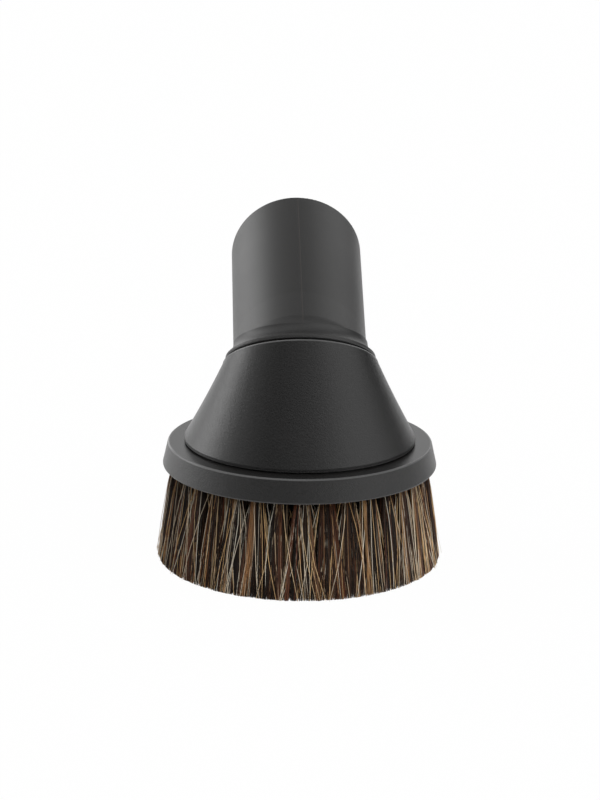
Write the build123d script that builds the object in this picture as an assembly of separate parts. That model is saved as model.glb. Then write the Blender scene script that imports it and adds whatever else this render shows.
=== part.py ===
from build123d import *
import os
from collections import namedtuple
from math import atan, cos, degrees, radians, sin, sqrt, tan

# Round dusting brush for a vacuum cleaner, in millimetres, +Z up.
# The origin is on the axis of the brush ring, in the plane of the bristle tips.
# The neck leans back, towards +Y, and swivels on the hood.

# Bristles
BRISTLE_LENGTH = 27.5
TIP_GAP = 0.25
TIP_CORNER_CUT = 0.8
ROOT_CLEARANCE = 0.1

OUTER_TUFTS = 36
OUTER_ROW_INSET = 4.5
OUTER_HOLE_RADIUS = 2.2
OUTER_HOLE_DEPTH = 4.4
OUTER_SPLAY = 4.1
OUTER_TIP_DEPTH = 5.2

INNER_TUFTS = 18
ROW_SPACING = 4.9
INNER_HOLE_RADIUS = 2.4
INNER_HOLE_DEPTH = 3.6
INNER_SPLAY = 2.0
INNER_TIP_DEPTH = 7.6
INNER_ROW_TURN = 5.0

ANCHOR_LENGTH = 4.1
ANCHOR_HEIGHT = 1.8
ANCHOR_THICKNESS = 0.3

# Brush ring
RING_BASE_RADIUS = 40.0
RING_DRAFT = 1.6
RING_HEIGHT = 6.9
RING_WIDTH = 13.1
RING_TOP_ROUND = 0.6
RING_BOTTOM_ROUND = 0.5
GROOVE_DEPTH = 1.5
GROOVE_CLEARANCE = 0.1

# Hood
LEDGE_WIDTH = 4.8
HOOD_HEIGHT = 21.8
HOOD_SHADOW_GAP = 0.3
HOOD_BASE_BAND = 1.0
HOOD_TOP_BAND = 0.65
HOOD_BASE_ROUND = 0.3
HOOD_TOP_ROUND = 0.55
HOOD_TOP_WALL = 2.4
HOOD_ROOF = 2.4
TONGUE_STEP = 1.0
TONGUE_WALL = 1.9

# Swivel joint, measured along its own tilted axis
JOINT_TILT = 33.0
JOINT_SETBACK = 2.0
JOINT_STEP = 3.1
JOINT_GAP = 0.7
LAND_WIDTH = 2.6
LAND_GAP = 0.05
SPIGOT_INSET = 1.5
SPIGOT_WALL = 2.5
SPIGOT_CLEARANCE = 0.05
COLLAR_HEIGHT = 4.0
COLLAR_WALL = 2.75
LOCK_THICKNESS = 1.2
LOCK_PLAY = 0.1
LOCK_SEAT_DEPTH = 0.8
LOCK_OVERHANG = 1.2
LOCK_SPLIT = 4.0
LOCK_ROOM = 0.4
SPIGOT_END = 1.2

# Neck
NECK_TILT = 73.0
NECK_RADIUS = 19.5
RIM_SWELL = 0.85
RIM_ROUND = 0.5
NECK_LENGTH = 67.2
ELBOW_HEIGHT = -0.5
ELBOW_ROUND = 8.0
TAPER_START = 9.0
NECK_LIP_INSET = 0.8
NECK_LIP_HEIGHT = 2.0
NECK_LIP_ROUND = 0.5
FOOT_ANGLE = 45.0
FOOT_ROUND = 5.0
RELIEF_ANGLE = 60.0
PASSAGE_FLOOR = 2.5
SOCKET_WALL = 1.9
SOCKET_DEPTH = 34.0
SOCKET_LEAD_IN = 0.9

# Derived radii, levels and planes
RING_TOP_RADIUS = RING_BASE_RADIUS - RING_DRAFT
RING_OPENING_RADIUS = RING_BASE_RADIUS - RING_WIDTH
OUTER_ROW_RADIUS = RING_BASE_RADIUS - OUTER_ROW_INSET
INNER_ROW_RADIUS = OUTER_ROW_RADIUS - ROW_SPACING
HOOD_BASE_RADIUS = RING_TOP_RADIUS - LEDGE_WIDTH
TONGUE_RADIUS = HOOD_BASE_RADIUS - TONGUE_STEP
RING_TOP = BRISTLE_LENGTH + RING_HEIGHT
GROOVE_FLOOR = RING_TOP - GROOVE_DEPTH
HOOD_EDGE = RING_TOP + HOOD_SHADOW_GAP
TONGUE_INNER = TONGUE_RADIUS - TONGUE_WALL
JOINT_RADIUS = NECK_RADIUS + JOINT_STEP
RIM_RADIUS = NECK_RADIUS + RIM_SWELL
SOCKET_RADIUS = NECK_RADIUS - SOCKET_WALL
SPIGOT_RADIUS = NECK_RADIUS - SPIGOT_INSET
BORE_RADIUS = SPIGOT_RADIUS + SPIGOT_CLEARANCE
PASSAGE_RADIUS = SPIGOT_RADIUS - SPIGOT_WALL
NECK_LIP_RADIUS = JOINT_RADIUS - NECK_LIP_INSET
LOCK_TOP = -COLLAR_HEIGHT - LOCK_PLAY
LOCK_BOTTOM = LOCK_TOP - LOCK_THICKNESS
LOCK_INNER = SPIGOT_RADIUS - LOCK_SEAT_DEPTH
LOCK_OUTER = BORE_RADIUS + LOCK_OVERHANG
SPIGOT_BOTTOM = LOCK_BOTTOM - SPIGOT_END
ELBOW_TURN = NECK_TILT - JOINT_TILT
ROUND_PATH_RADIUS = NECK_RADIUS - ELBOW_ROUND
JOINT_AXIS = (0, sin(radians(JOINT_TILT)), cos(radians(JOINT_TILT)))
JOINT = Plane(
    origin=(0, JOINT_SETBACK, HOOD_EDGE + HOOD_HEIGHT),
    x_dir=(1, 0, 0),
    z_dir=JOINT_AXIS,
)


def disc(radius, bottom, top):
    """A cylinder on the Z axis between two heights."""
    return Pos(0, 0, bottom) * Cylinder(radius, top - bottom, align=(Align.CENTER, Align.CENTER, Align.MIN))


def tube(outer, inner, bottom, top):
    return disc(outer, bottom, top) - disc(inner, bottom, top)


def bottom_edges(shape):
    return shape.edges().group_by(Axis.Z)[0]


def top_edges(shape):
    return shape.edges().group_by(Axis.Z)[-1]


def around(count, turn=0.0):
    """Angles of evenly spaced copies about the ring's axis."""
    return [turn + step * 360 / count for step in range(count)]


# Tufts

Row = namedtuple("Row", "name angles tuft radius hole_radius hole_depth")


def cell_normals(half_pitch):
    """Directions that the eight sides of a tuft's section face, from the outward one."""
    return [0, 45, 90 + half_pitch, 135, 180, 225, 270 - half_pitch, 315]


def cell_corners(half_pitch, reaches):
    """Corners of an eight-sided section, from the distance of each side to its middle."""
    angles = [radians(angle) for angle in cell_normals(half_pitch)]
    sides = list(zip(angles, reaches))
    corners = []
    for (first, reach), (second, next_reach) in zip(sides, sides[1:] + sides[:1]):
        spread = sin(second - first)
        x = (reach * sin(second) - next_reach * sin(first)) / spread
        y = (next_reach * cos(first) - reach * cos(second)) / spread
        corners.append((x, y))
    return corners


def section(corners, distance, level):
    """A tuft's section as a face, at a distance from the ring's axis."""
    outline = Polyline([(distance + x, y, level) for x, y in corners], close=True)
    return make_face(outline)


def root_corners(half_pitch, hole_radius):
    widest_corner = radians(45 + half_pitch) / 2
    reach = (hole_radius - ROOT_CLEARANCE) * cos(widest_corner)
    return cell_corners(half_pitch, [reach] * 8)


def tip_corners(half_pitch, tip_radius, tip_depth):
    out = tip_depth / 2
    side = tip_radius * sin(radians(half_pitch)) - TIP_GAP / 2
    corner = (out + side) / sqrt(2) - TIP_CORNER_CUT
    return cell_corners(half_pitch, [out, corner, side, corner, out, corner, side, corner])


def make_tuft(count, row_radius, hole_radius, hole_depth, splay, tip_depth):
    """One tuft on the +X side: a root in its hole, and a free length that opens to its tip."""
    half_pitch = 180 / count
    tip_radius = row_radius + splay
    root = root_corners(half_pitch, hole_radius)
    tip = tip_corners(half_pitch, tip_radius, tip_depth)
    free = loft([section(tip, tip_radius, 0), section(root, row_radius, BRISTLE_LENGTH)], ruled=True)
    held = extrude(section(root, row_radius, BRISTLE_LENGTH), hole_depth, dir=(0, 0, 1))
    slot = anchor(row_radius, hole_depth, 2 * hole_radius)
    return free + held - slot


def anchor(row_radius, hole_depth, length):
    """A flat anchor across a tuft's fold, at the closed end of its hole."""
    plate = Box(ANCHOR_THICKNESS, length, ANCHOR_HEIGHT, align=(Align.CENTER, Align.CENTER, Align.MAX))
    return Pos(row_radius, 0, BRISTLE_LENGTH + hole_depth) * plate


def tuft_rows():
    """The two rows, each with its tuft on the +X side and the angles of that tuft's copies."""
    outer = make_tuft(
        OUTER_TUFTS, OUTER_ROW_RADIUS, OUTER_HOLE_RADIUS, OUTER_HOLE_DEPTH, OUTER_SPLAY, OUTER_TIP_DEPTH
    )
    inner = make_tuft(
        INNER_TUFTS, INNER_ROW_RADIUS, INNER_HOLE_RADIUS, INNER_HOLE_DEPTH, INNER_SPLAY, INNER_TIP_DEPTH
    )
    outer_angles = around(OUTER_TUFTS)
    inner_angles = around(INNER_TUFTS, INNER_ROW_TURN)
    return [
        Row("outer_tuft", outer_angles, outer, OUTER_ROW_RADIUS, OUTER_HOLE_RADIUS, OUTER_HOLE_DEPTH),
        Row("inner_tuft", inner_angles, inner, INNER_ROW_RADIUS, INNER_HOLE_RADIUS, INNER_HOLE_DEPTH),
    ]


def make_anchors(rows):
    plates = []
    for row in rows:
        plate = anchor(row.radius, row.hole_depth, ANCHOR_LENGTH)
        plates += [Rot(0, 0, angle) * plate for angle in row.angles]
    return Compound(children=plates)


# Brush ring

def make_brush_ring(rows):
    """The moulded ring: a drafted wall, a groove for the hood's tongue and a hole for each tuft."""
    body = Cone(
        RING_BASE_RADIUS, RING_TOP_RADIUS, RING_HEIGHT, align=(Align.CENTER, Align.CENTER, Align.MIN)
    )
    body = fillet(top_edges(body), RING_TOP_ROUND)
    body = fillet(bottom_edges(body), RING_BOTTOM_ROUND)
    ring = Pos(0, 0, BRISTLE_LENGTH) * body - disc(RING_OPENING_RADIUS, 0, RING_TOP + RING_HEIGHT)
    ring -= tube(
        TONGUE_RADIUS + GROOVE_CLEARANCE,
        TONGUE_INNER - GROOVE_CLEARANCE,
        GROOVE_FLOOR,
        RING_TOP + RING_HEIGHT,
    )
    holes = []
    for row in rows:
        hole = Pos(row.radius, 0, 0) * disc(row.hole_radius, 0, BRISTLE_LENGTH + row.hole_depth)
        holes += [Rot(0, 0, angle) * hole for angle in row.angles]
    return ring - holes


# Hood

def hood_form(lower, upper):
    """A straight-sided form between two round sections, each a (plane, radius) pair."""
    sections = [plane * Circle(radius) for plane, radius in (lower, upper)]
    return loft(sections, ruled=True)


def hood_outside():
    band_top = HOOD_EDGE + HOOD_BASE_BAND
    base = disc(HOOD_BASE_RADIUS, HOOD_EDGE, band_top)
    base = fillet(bottom_edges(base), HOOD_BASE_ROUND)
    top = disc(JOINT_RADIUS, -HOOD_TOP_BAND, 0)
    top = JOINT.location * fillet(top_edges(top), HOOD_TOP_ROUND)
    lower = (Plane.XY.offset(band_top), HOOD_BASE_RADIUS)
    upper = (JOINT.offset(-HOOD_TOP_BAND), JOINT_RADIUS)
    return base + hood_form(lower, upper) + top


def hood_cavity():
    lower = (Plane.XY.offset(HOOD_EDGE), TONGUE_INNER)
    upper = (JOINT.offset(-HOOD_ROOF), JOINT_RADIUS - HOOD_TOP_WALL)
    return disc(TONGUE_INNER, 0, HOOD_EDGE) + hood_form(lower, upper)


def make_hood():
    """A thin shell with a tongue for the ring's groove and a collar that carries the neck."""
    tongue = tube(TONGUE_RADIUS, TONGUE_INNER, GROOVE_FLOOR, HOOD_EDGE + HOOD_BASE_BAND)
    collar = JOINT.location * disc(BORE_RADIUS + COLLAR_WALL, -COLLAR_HEIGHT, -HOOD_TOP_BAND)
    bore = JOINT.location * disc(BORE_RADIUS, SPIGOT_BOTTOM, JOINT_GAP)
    lock_room = JOINT.location * disc(LOCK_OUTER + LOCK_ROOM, SPIGOT_BOTTOM - LOCK_ROOM, -COLLAR_HEIGHT)
    return hood_outside() + tongue - hood_cavity() + collar - bore - lock_room


# Neck, in the joint's own frame: Z is the swivel axis and the neck leans towards +Y

def make_skirt():
    """The turned foot of the neck: a rounded lip, and a cone that blends into the neck's own radius."""
    lip = disc(NECK_LIP_RADIUS, JOINT_GAP, NECK_LIP_HEIGHT)
    lip = fillet(top_edges(lip) + bottom_edges(lip), NECK_LIP_ROUND)
    inside_lip = NECK_LIP_HEIGHT - NECK_LIP_ROUND
    width = NECK_LIP_RADIUS - NECK_RADIUS
    corner = inside_lip + width / tan(radians(FOOT_ANGLE))
    half_turn = radians(FOOT_ANGLE / 2)
    blend = FOOT_ROUND * tan(half_turn)
    cone_end = (NECK_RADIUS + blend * sin(radians(FOOT_ANGLE)), corner - blend * cos(radians(FOOT_ANGLE)))
    blend_middle = (
        NECK_RADIUS + FOOT_ROUND * (1 - cos(half_turn)),
        corner + blend - FOOT_ROUND * sin(half_turn),
    )
    wall_end = (NECK_RADIUS, corner + blend)
    outline = Polyline(wall_end, (0, inside_lip), (NECK_LIP_RADIUS, inside_lip), cone_end)
    outline += ThreePointArc(cone_end, blend_middle, wall_end)
    return lip + revolve(Plane.XZ * make_face(outline), Axis.Z)


def lean(share=1.0):
    """The place of the elbow's middle, with Z turned by a share of the way to the leaning tube."""
    return Pos(0, 0, ELBOW_HEIGHT) * Rot(-share * ELBOW_TURN, 0, 0)


def one_side(place, side):
    """A block that fills one side of a place's XY plane."""
    size = 4 * NECK_LENGTH
    return place * Box(size, size, size, align=(Align.CENTER, Align.CENTER, side))


def mitred_bar(radius):
    """A round bar up the swivel axis that turns along the leaning tube at a sharp mitre."""
    mitre = lean(0.5)
    foot = disc(radius, JOINT_GAP, NECK_LENGTH) - one_side(mitre, Align.MIN)
    stem = lean() * disc(radius, -NECK_LENGTH, TAPER_START) - one_side(mitre, Align.MAX)
    return foot + stem


def mitre_corner():
    """The wedge at the front of the mitre that the rounding fills."""
    rise = degrees(atan(ROUND_PATH_RADIUS / NECK_RADIUS * tan(radians(ELBOW_TURN / 2))))
    points = [(0, ELBOW_HEIGHT)]
    for angle in (rise, ELBOW_TURN / 2, ELBOW_TURN - rise):
        forward = -NECK_LENGTH * cos(radians(angle))
        points.append((forward, ELBOW_HEIGHT + NECK_LENGTH * sin(radians(angle))))
    return extrude(Plane.YZ * make_face(Polyline(points, close=True)), NECK_LENGTH, both=True)


def mitre_rounding():
    """A ball's path along the inside of the mitre: its skin meets both bars without an edge."""
    forward = ROUND_PATH_RADIUS / cos(radians(ELBOW_TURN / 2))
    path = Plane(lean(0.5)) * EllipticalCenterArc((0, 0), ROUND_PATH_RADIUS, forward, 180, arc_size=180)
    return sweep(Plane(origin=path @ 0, z_dir=path % 0) * Circle(ELBOW_ROUND), path=path)


def neck_outside():
    """The neck as a solid. The relief keeps the leaning tube's underside within the hood's edge."""
    corner = mitre_corner()
    rounded = (mitred_bar(ROUND_PATH_RADIUS) + mitre_rounding()) & corner
    taper = Cone(
        NECK_RADIUS, RIM_RADIUS, NECK_LENGTH - TAPER_START, align=(Align.CENTER, Align.CENTER, Align.MIN)
    )
    taper = lean() * Pos(0, 0, TAPER_START) * fillet(top_edges(taper), RIM_ROUND)
    land = disc(SPIGOT_RADIUS + LAND_WIDTH, LAND_GAP, NECK_LIP_HEIGHT)
    spigot = disc(SPIGOT_RADIUS, SPIGOT_BOTTOM, NECK_LIP_HEIGHT)
    relief = Pos(0, 0, JOINT_GAP) * Cone(
        JOINT_RADIUS,
        JOINT_RADIUS + NECK_LENGTH * tan(radians(RELIEF_ANGLE)),
        NECK_LENGTH,
        align=(Align.CENTER, Align.CENTER, Align.MIN),
    )
    bar = (mitred_bar(NECK_RADIUS) - corner + rounded + taper) & relief
    return bar + make_skirt() + land + spigot


def neck_passage():
    """The air way: up through the spigot, round the elbow and out through the socket."""
    foot = disc(PASSAGE_RADIUS, SPIGOT_BOTTOM, PASSAGE_FLOOR)
    elbow = Pos(0, 0, PASSAGE_FLOOR) * Sphere(PASSAGE_RADIUS)
    stem = lean() * disc(PASSAGE_RADIUS, 0, NECK_LENGTH) - one_side(Pos(0, 0, PASSAGE_FLOOR), Align.MAX)
    socket = disc(SOCKET_RADIUS, NECK_LENGTH - SOCKET_DEPTH, NECK_LENGTH)
    lead_in = Pos(0, 0, NECK_LENGTH - SOCKET_LEAD_IN) * Cone(
        SOCKET_RADIUS,
        SOCKET_RADIUS + SOCKET_LEAD_IN,
        SOCKET_LEAD_IN,
        align=(Align.CENTER, Align.CENTER, Align.MIN),
    )
    return foot + elbow + stem + lean() * (socket + lead_in)


def make_neck():
    groove = tube(
        SPIGOT_RADIUS + LAND_WIDTH,
        LOCK_INNER - SPIGOT_CLEARANCE,
        LOCK_BOTTOM - LOCK_PLAY / 2,
        LOCK_TOP + LOCK_PLAY / 2,
    )
    return JOINT.location * (neck_outside() - neck_passage() - groove)


def make_locking_ring():
    """A split ring that snaps into the spigot's groove, under the hood's collar."""
    ring = tube(LOCK_OUTER, LOCK_INNER, LOCK_BOTTOM, LOCK_TOP)
    middle = Pos(0, LOCK_OUTER, (LOCK_BOTTOM + LOCK_TOP) / 2)
    split = middle * Box(LOCK_SPLIT, LOCK_OUTER, 2 * LOCK_THICKNESS)
    return JOINT.location * (ring - split)


def main():
    rows = tuft_rows()
    parts = {
        "neck": make_neck(),
        "locking_ring": make_locking_ring(),
        "hood": make_hood(),
        "brush_ring": make_brush_ring(rows),
        "tuft_anchors": make_anchors(rows),
    }
    for row in rows:
        for number, angle in enumerate(row.angles, start=1):
            parts[f"{row.name}_{number:02d}"] = Rot(0, 0, angle) * row.tuft
    os.makedirs("parts", exist_ok=True)
    for name, part in parts.items():
        export_step(part, f"parts/{name}.step")


main()
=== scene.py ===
from math import cos, pi, radians, sin

import bpy
import numpy as np
from mathutils import Matrix, Vector


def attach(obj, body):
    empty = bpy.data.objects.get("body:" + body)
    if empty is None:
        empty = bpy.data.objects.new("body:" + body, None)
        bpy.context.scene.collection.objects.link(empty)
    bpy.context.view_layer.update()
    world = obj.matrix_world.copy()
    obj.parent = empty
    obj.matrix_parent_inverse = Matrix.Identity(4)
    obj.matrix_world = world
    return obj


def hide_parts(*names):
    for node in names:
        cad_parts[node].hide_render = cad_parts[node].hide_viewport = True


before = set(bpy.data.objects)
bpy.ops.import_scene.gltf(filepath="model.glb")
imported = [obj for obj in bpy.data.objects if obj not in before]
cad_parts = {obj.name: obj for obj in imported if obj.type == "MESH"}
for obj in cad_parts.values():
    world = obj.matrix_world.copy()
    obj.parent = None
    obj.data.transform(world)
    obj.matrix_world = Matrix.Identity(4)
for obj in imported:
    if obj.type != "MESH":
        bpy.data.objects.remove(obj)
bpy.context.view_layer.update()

MM = 0.001
RING_BOTTOM = 27.5 * MM
RING_TOP = 34.4 * MM
RING_EDGE = 38.4 * MM
HOOD_EDGE = 34.7 * MM
JOINT_MIDDLE = (0, 2.0 * MM, 56.5 * MM)
JOINT_AXIS = (0, sin(radians(33)), cos(radians(33)))
ROOT_DEPTH = 2.5 * MM
SEAM_PLACE = 0.15 * MM
SEAM_END = 71 * MM

# Where the camera stands, and how the photograph is framed
CAMERA_DISTANCE = 600 * MM
CAMERA_AZIMUTH = radians(-1.65)
CAMERA_ELEVATION = radians(15.6)
CAMERA_ROLL = radians(0.68)
CAMERA_AIM = Vector((-0.10 * MM, 0, 46.3 * MM))
CAMERA_LENS = 93.12
SENSOR_WIDTH = 36.0

# Studio
FLOOR_SIZE = 6
FLOOR_LEVEL = -0.1 * MM
WHITE = (1, 1, 1, 1)
PAPER_COLOUR = (0.9, 0.9, 0.9, 1)
PAPER_GLOW = 0.98
BRISTLE_INSIDE = 34 * MM
BRISTLE_OUTSIDE = 40 * MM
ROOM_LIGHT = 0.02

# The studio's soft boxes: degrees round from the front towards the right, degrees up,
# the cosine from its middle at which each begins, and its strength
SOFT_BOXES = [
    (0, 60, 0.76, 0.82),
    (50, 0, 0.92, 2.21),
    (65, 36, 0.76, 1.19),
    (100, 25, 0.92, 0.80),
    (103, 60, 0.76, 0.74),
    (150, 25, 0.92, 0.56),
    (180, 12, 0.76, 0.85),
    (-155, 10, 0.94, 0.91),
    (-129, 12, 0.76, 0.55),
    (-125, 28, 0.94, 1.85),
    (-110, 10, 0.94, 3.02),
    (-103, 12, 0.76, 0.67),
    (-103, 60, 0.76, 0.91),
    (-65, 28, 0.94, 0.67),
]


def make_camera():
    """The camera, at the photograph's angle."""
    data = bpy.data.cameras.new("camera")
    data.sensor_width = SENSOR_WIDTH
    data.lens = CAMERA_LENS
    data.clip_start = 0.01
    camera = bpy.data.objects.new("camera", data)
    bpy.context.scene.collection.objects.link(camera)
    turn = Matrix.Rotation(CAMERA_AZIMUTH, 4, "Z")
    level = turn @ Matrix.Rotation(pi / 2 - CAMERA_ELEVATION, 4, "X")
    back = Matrix.Translation((0, 0, CAMERA_DISTANCE))
    place = Matrix.Translation(CAMERA_AIM) @ level @ back
    camera.matrix_world = place @ Matrix.Rotation(CAMERA_ROLL, 4, "Z")
    bpy.context.scene.camera = camera


# Materials

class Value:
    """A number or colour in a node tree, that can be used in sums."""

    def __init__(self, tree, socket):
        self.tree = tree
        self.socket = socket

    def maths(self, operation, other, turned=False):
        pair = (other, self) if turned else (self, other)
        return self.tree.add("ShaderNodeMath", {"operation": operation}, dict(enumerate(pair)))

    def __add__(self, other):
        return self.maths("ADD", other)

    def __radd__(self, other):
        return self.maths("ADD", other, turned=True)

    def __sub__(self, other):
        return self.maths("SUBTRACT", other)

    def __rsub__(self, other):
        return self.maths("SUBTRACT", other, turned=True)

    def __mul__(self, other):
        return self.maths("MULTIPLY", other)

    def __rmul__(self, other):
        return self.maths("MULTIPLY", other, turned=True)


class Tree:
    """The nodes of a material or of the world."""

    def __init__(self, owner, output):
        owner.use_nodes = True
        self.owner = owner
        self.nodes = owner.node_tree.nodes
        self.links = owner.node_tree.links
        self.nodes.clear()
        self.output = self.nodes.new(output)

    def add(self, kind, settings=None, values=None, output=0):
        """A node of any type: its settings first, then what its sockets hold or link to."""
        node = self.nodes.new(kind)
        for name, setting in (settings or {}).items():
            if name == "stops":
                fill_ramp(node.color_ramp, setting)
            else:
                setattr(node, name, setting)
        self.join(node, values or {})
        return Value(self, node.outputs[output])

    def join(self, node, values):
        for socket, value in values.items():
            if isinstance(value, Value):
                self.links.new(value.socket, node.inputs[socket])
            else:
                node.inputs[socket].default_value = value

    def show(self, shader):
        self.join(self.output, {"Surface": shader})

    def place(self):
        return self.add("ShaderNodeTexCoord", output="Object")

    def vectors(self, operation, values, output=0):
        """A sum on vectors. Its result is a vector, or one number with the output Value."""
        return self.add("ShaderNodeVectorMath", {"operation": operation}, values, output)

    def fade(self, value, start, end, low=0.0, high=1.0):
        """Runs smoothly from low to high as the value goes from start to end."""
        values = {"Value": value, "From Min": start, "From Max": end, "To Min": low, "To Max": high}
        return self.add("ShaderNodeMapRange", {"interpolation_type": "SMOOTHSTEP"}, values)


class Finish(Tree):
    """A material with one shader."""

    def __init__(self, name, **settings):
        super().__init__(bpy.data.materials.new(name), "ShaderNodeOutputMaterial")
        values = {
            socket.replace("_", " ").title().replace("Ior", "IOR"): value
            for socket, value in settings.items()
        }
        self.show(self.add("ShaderNodeBsdfPrincipled", {}, values))
        self.shader = self.nodes["Principled BSDF"]
        self.material = self.owner

    def drive(self, socket, value):
        self.join(self.shader, {socket: value})

    def axis(self, name):
        return self.add("ShaderNodeSeparateXYZ", {}, {0: self.place()}, name)

    def along(self, middle, axis):
        """How far a place lies along an axis through a middle."""
        away = self.vectors("SUBTRACT", {0: self.place(), 1: middle})
        return self.vectors("DOT_PRODUCT", {0: away, 1: axis}, "Value")

    def radius(self):
        """How far a place lies from the ring's axis."""
        flat = self.vectors("MULTIPLY", {0: self.place(), 1: (1, 1, 0)})
        return self.vectors("LENGTH", {0: flat}, "Value")

    def noise(self, scale, detail=2.0, roughness=0.5):
        values = {"Vector": self.place(), "Scale": scale, "Detail": detail, "Roughness": roughness}
        return self.add("ShaderNodeTexNoise", {}, values, "Fac")

    def bump(self, height, distance, strength=1.0):
        values = {"Height": height, "Distance": distance, "Strength": strength}
        return self.add("ShaderNodeBump", {}, values, "Normal")

    def blend(self, share, first, second):
        """One colour that gives way to another."""
        settings = {"data_type": "RGBA"}
        return self.add("ShaderNodeMix", settings, {"Factor": share, 6: first, 7: second}, 2)

    def colours(self, value, stops):
        return self.add("ShaderNodeValToRGB", {"stops": stops}, {"Fac": value}, "Color")


def fill_ramp(ramp, stops):
    while len(ramp.elements) < len(stops):
        ramp.elements.new(1.0)
    for element, (position, colour) in zip(ramp.elements, stops):
        element.position = position
        element.color = (*colour, 1)


def grey(level, warmth=0.0):
    return (level * (1 + warmth), level, level * (1 - warmth))


def neck_finish():
    """Satin charcoal plastic: a fine grain, a seam along the tube and a painted highlight along the
    foot's lower edge.
    """
    finish = Finish("neck_plastic", specular_ior_level=0.5)
    grain = finish.noise(scale=2000, detail=4.0, roughness=0.7)
    cloud = finish.noise(scale=60)
    aside = finish.axis("X") - SEAM_PLACE
    offset = finish.add("ShaderNodeMath", {"operation": "ABSOLUTE"}, {0: aside})
    seam = finish.fade(offset, 0.05 * MM, 0.20 * MM, low=1.0, high=0.0)
    seam = seam * finish.fade(finish.axis("Z"), SEAM_END, SEAM_END + 2 * MM)
    plain = finish.colours(grain, [(0.3, grey(0.009, 0.03)), (0.7, grey(0.015, 0.03))])
    # A lighter band along the foot's lower edge, by the gap to the hood: a painted highlight.
    height = finish.along(JOINT_MIDDLE, JOINT_AXIS)
    edge = finish.fade(height, 0.8 * MM, 1.3 * MM, low=1.0, high=0.0)
    marked = finish.blend(seam * 0.5, plain, (0.035, 0.024, 0.020, 1))
    finish.drive("Base Color", finish.blend(edge, marked, (*grey(0.05), 1)))
    finish.drive("Roughness", 0.34 + grain * 0.12 + cloud * 0.05)
    finish.drive("Normal", finish.bump(grain + seam * 0.8, 0.035 * MM))
    return finish.material


def hood_finish():
    """Black plastic with a pebbled grain and painted highlights along its top and bottom edges."""
    finish = Finish("hood_plastic", specular_ior_level=0.5)
    grain = finish.noise(scale=1800, detail=4.0, roughness=0.8)
    cloud = finish.noise(scale=70)
    # A lighter band along the top edge by the gap, and a fainter one along the bottom edge: painted
    # highlights.
    top = finish.fade(finish.along(JOINT_MIDDLE, JOINT_AXIS), -0.65 * MM, -0.35 * MM)
    bottom_highlight = finish.fade(
        finish.axis("Z"), HOOD_EDGE + 0.2 * MM, HOOD_EDGE + 0.5 * MM, low=1.0, high=0.0
    )
    edge = top.maths("MAXIMUM", bottom_highlight * 0.5)
    plain = finish.colours(grain, [(0.3, grey(0.005, 0.02)), (0.7, grey(0.009, 0.02))])
    finish.drive("Base Color", finish.blend(edge, plain, (*grey(0.11), 1)))
    finish.drive("Roughness", 0.22 + grain * 0.14 + cloud * 0.04)
    finish.drive("Normal", finish.bump(grain, 0.08 * MM))
    return finish.material


def ring_finish():
    """Black plastic: smooth ledge, coarsely grained drafted wall and painted highlights along its
    top outer edge and its bottom edge.
    """
    finish = Finish("ring_plastic", specular_ior_level=0.5)
    grain = finish.noise(scale=1700, detail=4.0, roughness=0.8)
    height = finish.axis("Z")
    wall = finish.fade(height, RING_TOP - 0.5 * MM, RING_TOP - 0.2 * MM, low=1.0, high=0.0)
    # A lighter band along the top outer edge, and a fainter one along the bottom edge: painted
    # highlights.
    rim = finish.fade(finish.radius(), RING_EDGE - 0.7 * MM, RING_EDGE - 0.35 * MM)
    top = finish.fade(height, RING_TOP - 0.5 * MM, RING_TOP - 0.25 * MM) * rim
    bottom_highlight = finish.fade(
        height, RING_BOTTOM + 0.2 * MM, RING_BOTTOM + 0.5 * MM, low=1.0, high=0.0
    )
    plain = finish.colours(grain, [(0.3, grey(0.009, 0.03)), (0.7, grey(0.015, 0.03))])
    edge = top.maths("MAXIMUM", bottom_highlight * 0.6)
    finish.drive("Base Color", finish.blend(edge, plain, (*grey(0.09), 1)))
    finish.drive("Roughness", 0.26 + wall * grain * 0.14)
    finish.drive("Normal", finish.bump(grain * (0.12 + wall * 0.88), 0.15 * MM))
    return finish.material


def clip_finish():
    """Plain black plastic with light handling marks."""
    finish = Finish("clip_plastic")
    grain = finish.noise(scale=2200)
    finish.drive("Base Color", finish.colours(grain, [(0.3, grey(0.02)), (0.7, grey(0.035))]))
    finish.drive("Roughness", 0.35 + grain * 0.2)
    return finish.material


def strip_finish():
    """Bright steel strip with fine drawing marks along it."""
    finish = Finish("anchor_strip", metallic=1.0)
    mapping = {"Vector": finish.place(), "Scale": (300, 300, 9000)}
    stretched = finish.add("ShaderNodeMapping", {}, mapping)
    texture = {"Vector": stretched, "Scale": 1.0, "Detail": 2.0}
    marks = finish.add("ShaderNodeTexNoise", {}, texture, "Fac")
    finish.drive("Base Color", finish.colours(marks, [(0.3, grey(0.45)), (0.7, grey(0.62))]))
    finish.drive("Roughness", 0.25 + marks * 0.2)
    return finish.material


HAIR_COLOURS = [
    (0.00, (0.010, 0.006, 0.004)),
    (0.18, (0.022, 0.012, 0.007)),
    (0.32, (0.070, 0.030, 0.014)),
    (0.44, (0.220, 0.066, 0.028)),
    (0.54, (0.160, 0.100, 0.064)),
    (0.64, (0.320, 0.170, 0.076)),
    (0.74, (0.620, 0.300, 0.120)),
    (0.83, (0.860, 0.580, 0.280)),
    (0.90, (0.820, 0.680, 0.500)),
    (1.00, (0.950, 0.880, 0.740)),
]


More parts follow.
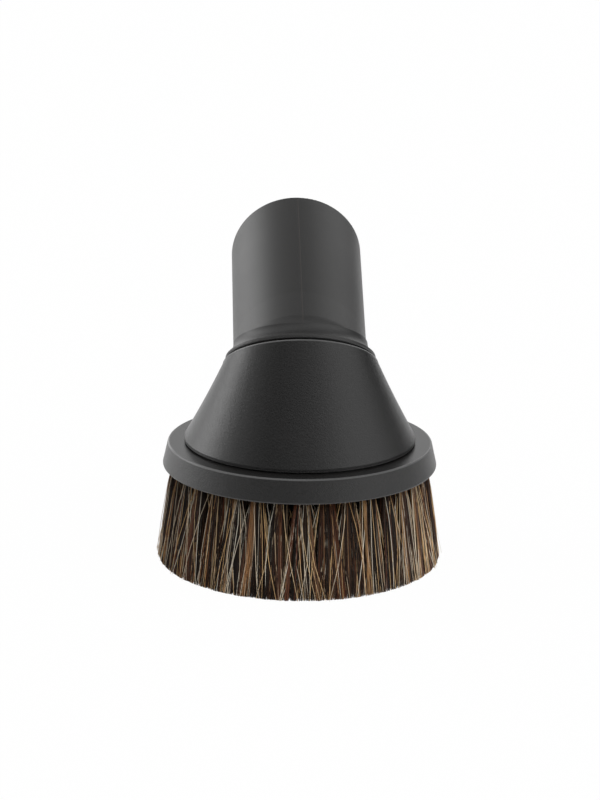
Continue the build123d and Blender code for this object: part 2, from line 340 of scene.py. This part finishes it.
def hair_finish():
    """Natural hair: each hair has one shade of the mix, a little lighter towards its tip."""
    finish = Finish("horse_hair", roughness=0.40, specular_ior_level=0.3)
    shade = finish.add("ShaderNodeAttribute", {"attribute_name": "shade"}, {}, "Fac")
    along = finish.add("ShaderNodeAttribute", {"attribute_name": "along"}, {}, "Fac")
    colour = finish.colours(shade, HAIR_COLOURS)
    lift = finish.fade(along, 0.0, 1.0, 0.75, 1.25)
    lit = finish.vectors("SCALE", {0: colour, "Scale": lift})
    finish.drive("Base Color", lit)
    return finish.material


# Hair

SEED = 7
HAIR_RINGS = 4
HAIR_SIDES = 3
HAIR_TAPER = 0.65
SHADE_STEPS = 64
CAP_POINT = 0.03

# In millimetres: the least and greatest radius of a hair, its waves and how uneven the tips are
HAIR_RADII = (0.075, 0.110)
WAVES = 0.05
TIP_UNEVENNESS = 0.10
PALE_THICKENING = 0.25

# A tuft's hairs gather in locks, on a disc of radius one. Pairs are outwards and sideways.
LOCKS = 15
LOCK_REACH = 0.92
LOCK_SPREAD = 0.11
LOCK_LEAN = np.array([0.12, 0.30])
LOCK_BOW = np.array([0.15, 0.45])
LOCK_SHADE_POWER = 1.7
LOCK_SHADE_TOP = 0.84
LOCK_SHADE_SPREAD = 0.07
ROOT_LIMIT = 0.55
TIP_LIMIT = 0.62
HOLE_FILL = 0.95

# Some hairs stand by themselves, some have an odd shade, and a few pale ones stray sideways
SINGLE_SHARE = 0.42
SINGLE_LEAN = 0.09
SINGLE_SHADE_TOP = 0.36
ODD_SHARE = 0.10
ODD_SHADE_POWER = 1.4
STRAY_SHARE = 0.05
STRAY_LEAN = np.array([0.06, 0.75])
STRAY_BOW = np.array([0.2, 1.0])
STRAY_SHADES = (0.78, 1.0)
EVERY_LEAN = 0.05
EVERY_BOW = 0.12


def tuft_cells(count, turn, row_radius, tip_radius, tip_depth, hole_radius, opening):
    """Each tuft of a row: its angle and the sizes that its hairs spread over, in metres.

    An opening under one spreads the hairs soon after they leave their hole.
    """
    for number in range(count):
        yield {
            "angle": radians(turn + number * 360 / count),
            "row": row_radius * MM,
            "tip": tip_radius * MM,
            "depth": tip_depth * MM,
            "width": 2 * pi * tip_radius * MM / count,
            "hole": hole_radius * MM,
            "opening": opening,
        }


def in_disc(amount, rng):
    """Points spread evenly over a disc of radius one."""
    reach = np.sqrt(rng.random(amount))
    angle = rng.random(amount) * 2 * pi
    return np.stack([reach * np.cos(angle), reach * np.sin(angle)], 1)


def squared(points):
    """The disc's points moved out so that they fill a square."""
    longest = np.maximum(np.abs(points).max(1), 1e-6)
    return points * (np.linalg.norm(points, axis=1) / longest)[:, None]


def tuft_hairs(cell, amount, rng):
    """Each hair's root, tip, bow and shade, for a tuft on the +X side."""
    lock = rng.integers(0, LOCKS, amount)
    middles = in_disc(LOCKS, rng) * LOCK_REACH
    leans = rng.normal(0, 1, (LOCKS, 2)) * LOCK_LEAN
    bows = rng.normal(0, 1, (LOCKS, 2)) * LOCK_BOW
    lock_shades = rng.random(LOCKS) ** LOCK_SHADE_POWER * LOCK_SHADE_TOP

    single = rng.random(amount) < SINGLE_SHARE
    apart = in_disc(amount, rng)
    gathered = middles[lock] + rng.normal(0, LOCK_SPREAD, (amount, 2))
    start = np.where(single[:, None], apart, gathered)
    start /= np.maximum(1, np.linalg.norm(start, axis=1))[:, None]
    start[:, 0] = np.minimum(start[:, 0], ROOT_LIMIT)

    own_lean = rng.normal(0, SINGLE_LEAN, (amount, 2))
    end = squared(start) + np.where(single[:, None], own_lean, leans[lock])
    end += rng.normal(0, EVERY_LEAN, (amount, 2))
    end[:, 0] = np.minimum(end[:, 0], TIP_LIMIT)
    bow = np.where(single[:, None], 0, bows[lock]) + rng.normal(0, EVERY_BOW, (amount, 2))

    own_shade = rng.random(amount) * SINGLE_SHADE_TOP
    shared_shade = lock_shades[lock] + rng.normal(0, LOCK_SHADE_SPREAD, amount)
    shade = np.where(single, own_shade, shared_shade)
    odd = rng.random(amount) < ODD_SHARE
    shade = np.where(odd, rng.random(amount) ** ODD_SHADE_POWER, shade)

    outwards, sideways = STRAY_LEAN
    stray = rng.random(amount) < STRAY_SHARE
    end[:, 1] += np.where(stray, rng.normal(0, sideways, amount), 0)
    end[:, 0] += np.where(stray, np.abs(rng.normal(0, outwards, amount)), 0)
    bow += np.where(stray[:, None], rng.normal(0, 1, (amount, 2)) * STRAY_BOW, 0)
    shade = np.where(stray, rng.uniform(*STRAY_SHADES, amount), shade)

    root = start * cell["hole"] * HOLE_FILL + np.array([cell["row"], 0])
    tip = end * np.array([cell["depth"], cell["width"]]) / 2 + np.array([cell["tip"], 0])
    return root, tip, bow * MM, np.clip(shade, 0, 1)


def hair_lines(cell, root, tip, bow, rng):
    """Middle lines of a tuft's hairs, in the place of that tuft: hairs by rings by xyz."""
    amount = len(root)
    steps = np.linspace(0, 1, HAIR_RINGS)[None, :, None]
    share = steps ** cell["opening"]
    straight = root[:, None] * (1 - share) + tip[:, None] * share
    path = straight + bow[:, None] * np.sin(steps * pi)
    path = path + rng.normal(0, WAVES * MM, (amount, HAIR_RINGS, 2)) * steps
    bottom = np.abs(rng.normal(0, TIP_UNEVENNESS, amount)) * MM
    top = RING_BOTTOM + ROOT_DEPTH
    height = top * (1 - steps[..., 0]) + bottom[:, None] * steps[..., 0]
    turn = cell["angle"]
    x = path[..., 0] * cos(turn) - path[..., 1] * sin(turn)
    y = path[..., 0] * sin(turn) + path[..., 1] * cos(turn)
    return np.stack([x, y, height], 2)


def hair_corners():
    """The corners of one hair's faces, as (ring, side) places that run on round the hair."""
    corners = []
    for ring in range(HAIR_RINGS - 1):
        for side in range(HAIR_SIDES):
            near, far = (ring, side), (ring, side + 1)
            low, beyond = (ring + 1, side), (ring + 1, side + 1)
            corners += [low, beyond, far, low, far, near]
    last = HAIR_RINGS - 1
    corners += [(0, 0), (0, 1), (0, 2), (last, 2), (last, 1), (last, 0)]
    return np.array(corners)


def hair_mesh(name, lines, bins, thickness):
    """Thin three-sided hairs along their middle lines, closed at both ends."""
    amount = len(lines)
    angles = np.arange(HAIR_SIDES) * 2 * pi / HAIR_SIDES
    around = np.stack([np.cos(angles), np.sin(angles), 0 * angles], 1)
    taper = np.linspace(1.0, HAIR_TAPER, HAIR_RINGS)
    widths = taper[None, :, None, None]
    offsets = around[None, None] * widths * thickness[:, None, None, None]
    points = (lines[:, :, None, :] + offsets).reshape(-1, 3)
    per_hair = HAIR_RINGS * HAIR_SIDES
    ring, side = hair_corners().T
    vertices = ring * HAIR_SIDES + side % HAIR_SIDES
    faces = (vertices[None] + np.arange(amount)[:, None] * per_hair).reshape(-1, 3)

    mesh = bpy.data.meshes.new(name)
    mesh.from_pydata(points.tolist(), [], faces.tolist())
    mesh.update()
    shade = mesh.attributes.new("shade", "FLOAT", "POINT")
    shade.data.foreach_set("value", np.repeat((bins + 0.5) / SHADE_STEPS, per_hair))
    along = mesh.attributes.new("along", "FLOAT", "POINT")
    reach = np.repeat(np.linspace(0, 1, HAIR_RINGS), HAIR_SIDES)
    along.data.foreach_set("value", np.tile(reach, amount))
    lay_out(mesh, bins, ring, side)
    mesh.polygons.foreach_set("use_smooth", [True] * len(mesh.polygons))
    return mesh


def lay_out(mesh, bins, ring, side):
    """A map for baking: a column for each shade, with the hairs' lengths down it."""
    across = 0.1 + 0.8 * side / HAIR_SIDES
    down = ring / (HAIR_RINGS - 1)
    caps = slice(len(ring) - 6, None)
    down[caps] = np.abs(down[caps] - np.array([0, CAP_POINT, 0, 0, CAP_POINT, 0]))
    u = (bins[:, None] + across[None]) / SHADE_STEPS
    v = np.broadcast_to(0.005 + 0.99 * down, u.shape)
    layer = mesh.uv_layers.new(name="OFBake")
    layer.data.foreach_set("uv", np.stack([u, v], 2).ravel())


def make_hair(row, cells, per_tuft, group, finish, rng):
    """A row's hair, a few tufts to a piece, each piece in place of its plain tufts."""
    cells = list(cells)
    for first in range(0, len(cells), group):
        chosen = cells[first:first + group]
        lines, shades = [], []
        for cell in chosen:
            root, tip, bow, shade = tuft_hairs(cell, per_tuft, rng)
            lines.append(hair_lines(cell, root, tip, bow, rng))
            shades.append(shade)
        shades = np.concatenate(shades)
        bins = np.minimum((shades * SHADE_STEPS).astype(int), SHADE_STEPS - 1)
        thickness = rng.uniform(*HAIR_RADII, len(shades)) * MM
        thickness = thickness * (1 + PALE_THICKENING * shades ** 2)
        name = f"{row}_hair_{first // group + 1:02d}"
        piece = bpy.data.objects.new(name, hair_mesh(name, np.concatenate(lines), bins, thickness))
        bpy.context.scene.collection.objects.link(piece)
        piece.data.materials.append(finish)
        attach(piece, "brush_head")
        tufts = range(first + 1, first + len(chosen) + 1)
        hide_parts(*[f"{row}_tuft_{number:02d}" for number in tufts])


# Studio

def seen_white(tree):
    """One for the camera's rays and for those in reflections and glass, nought for the rest."""
    camera, glossy, transmission = [
        tree.add("ShaderNodeLightPath", output=f"Is {name} Ray")
        for name in ("Camera", "Glossy", "Transmission")
    ]
    return camera.maths("MAXIMUM", glossy.maths("MAXIMUM", transmission))


def paper_finish():
    """White for the camera and in reflections, with the shadow that falls on it.

    Inside the ring of bristles it is plain paint, dark in their shade.
    """
    tree = Tree(bpy.data.materials.new("white_paper"), "ShaderNodeOutputMaterial")
    away = tree.vectors("LENGTH", {0: tree.place()}, "Value")
    outside = tree.fade(away, BRISTLE_INSIDE, BRISTLE_OUTSIDE)
    paint = tree.add("ShaderNodeBsdfDiffuse", {}, {"Color": PAPER_COLOUR})
    glow = tree.add("ShaderNodeEmission", {}, {"Color": WHITE, "Strength": 1.0})
    shares = {0: seen_white(tree) * outside * PAPER_GLOW, 1: paint, 2: glow}
    tree.show(tree.add("ShaderNodeMixShader", {}, shares))
    return tree.owner


def make_floor():
    """A pale floor that runs on without an edge in view."""
    bpy.ops.object.select_all(action="DESELECT")
    bpy.ops.mesh.primitive_plane_add(size=FLOOR_SIZE, location=(0, 0, FLOOR_LEVEL))
    floor = bpy.context.object
    floor.name = "floor"
    bpy.ops.object.transform_apply(location=True)
    floor.data.materials.append(paper_finish())


def make_world():
    """A dim room with soft boxes round the object, and white to the camera."""
    tree = Tree(bpy.data.worlds.new("studio"), "ShaderNodeOutputWorld")
    looking = tree.add("ShaderNodeTexCoord", output="Generated")
    strength = ROOM_LIGHT
    for round_by, up_by, edge, power in SOFT_BOXES:
        turn = Matrix.Rotation(radians(round_by), 3, "Z")
        lift = Matrix.Rotation(radians(-up_by), 3, "X")
        towards = turn @ lift @ Vector((0, -1, 0))
        facing = tree.vectors("DOT_PRODUCT", {0: looking, 1: towards}, "Value")
        strength = strength + tree.fade(facing, edge, 1.0) * power
    light = tree.add("ShaderNodeBackground", {}, {"Color": WHITE, "Strength": strength})
    white = tree.add("ShaderNodeBackground", {}, {"Color": WHITE, "Strength": 1.0})
    camera = tree.add("ShaderNodeLightPath", output="Is Camera Ray")
    tree.show(tree.add("ShaderNodeMixShader", {}, {0: camera, 1: light, 2: white}))
    bpy.context.scene.world = tree.owner


def dress(node, finish):
    """A CAD node keeps its shape and gets its own finish."""
    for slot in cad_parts[node].material_slots:
        slot.material = finish


def main():
    bpy.context.scene.view_settings.view_transform = "Standard"
    rng = np.random.default_rng(SEED)
    make_camera()
    make_world()
    make_floor()
    dress("neck", neck_finish())
    dress("hood", hood_finish())
    dress("brush_ring", ring_finish())
    dress("locking_ring", clip_finish())
    dress("tuft_anchors", strip_finish())
    hair = hair_finish()
    outer = tuft_cells(
        count=36, turn=0, row_radius=35.5, tip_radius=39.6, tip_depth=5.2, hole_radius=2.2,
        opening=1.0,
    )
    inner = tuft_cells(
        count=18, turn=5, row_radius=30.6, tip_radius=32.6, tip_depth=7.6, hole_radius=2.4,
        opening=0.45,
    )
    make_hair("outer", outer, per_tuft=900, group=6, finish=hair, rng=rng)
    make_hair("inner", inner, per_tuft=800, group=9, finish=hair, rng=rng)


main()
